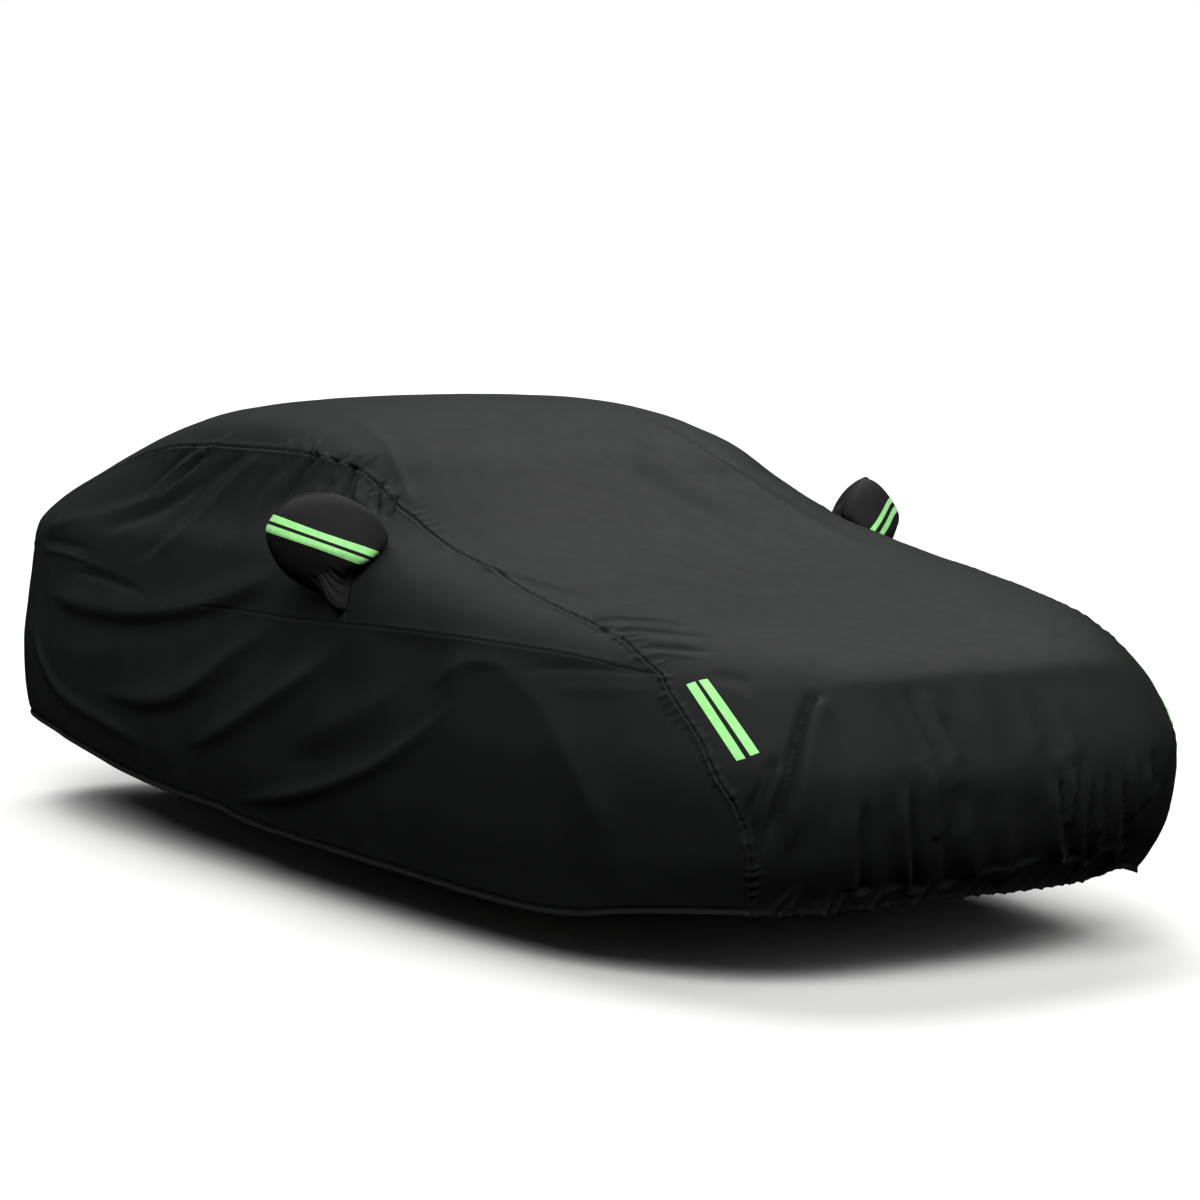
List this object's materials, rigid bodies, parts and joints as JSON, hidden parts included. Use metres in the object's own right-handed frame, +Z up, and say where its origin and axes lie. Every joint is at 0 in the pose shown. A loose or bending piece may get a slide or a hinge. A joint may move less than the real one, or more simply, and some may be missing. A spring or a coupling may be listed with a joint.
{
  "type": "car cover",
  "caption": "Fitted fabric cover for a fastback saloon, sewn from panels, open underneath, with mirror pockets and light green reflective tape.",
  "frame": {"origin": "the mount car_roof: the inner face of the cloth at the middle of the roof, on the centre plane", "axes": "+X to the front of the car, +Y to the car's left, +Z up; the ground is 1.44 m below the origin"},
  "size_m": [4.862, 2.1738, 1.3014],
  "materials": {
    "cover_cloth": "black coated polyester, close plain weave, soft satin sheen",
    "pocket_cloth": "the same black coated polyester, cut and sewn as pockets",
    "reflective_tape": "light green woven reflective tape, satin"
  },
  "bodies": {
    "root": {"top_panel": "cover_cloth", "tail_panel": "cover_cloth", "fender_panel_right": "cover_cloth", "window_panel_right": "cover_cloth", "lower_side_panel_right": "cover_cloth", "rear_side_panel_right": "cover_cloth", "fender_panel_left": "cover_cloth", "window_panel_left": "cover_cloth", "lower_side_panel_left": "cover_cloth", "rear_side_panel_left": "cover_cloth", "mirror_pocket_right": "pocket_cloth", "mirror_pocket_left": "pocket_cloth", "corner_tape_1_right": "reflective_tape", "corner_tape_2_right": "reflective_tape", "pocket_tape_1_right": "reflective_tape", "pocket_tape_2_right": "reflective_tape", "corner_tape_1_left": "reflective_tape", "corner_tape_2_left": "reflective_tape", "pocket_tape_1_left": "reflective_tape", "pocket_tape_2_left": "reflective_tape"}
  },
  "joints": []
}
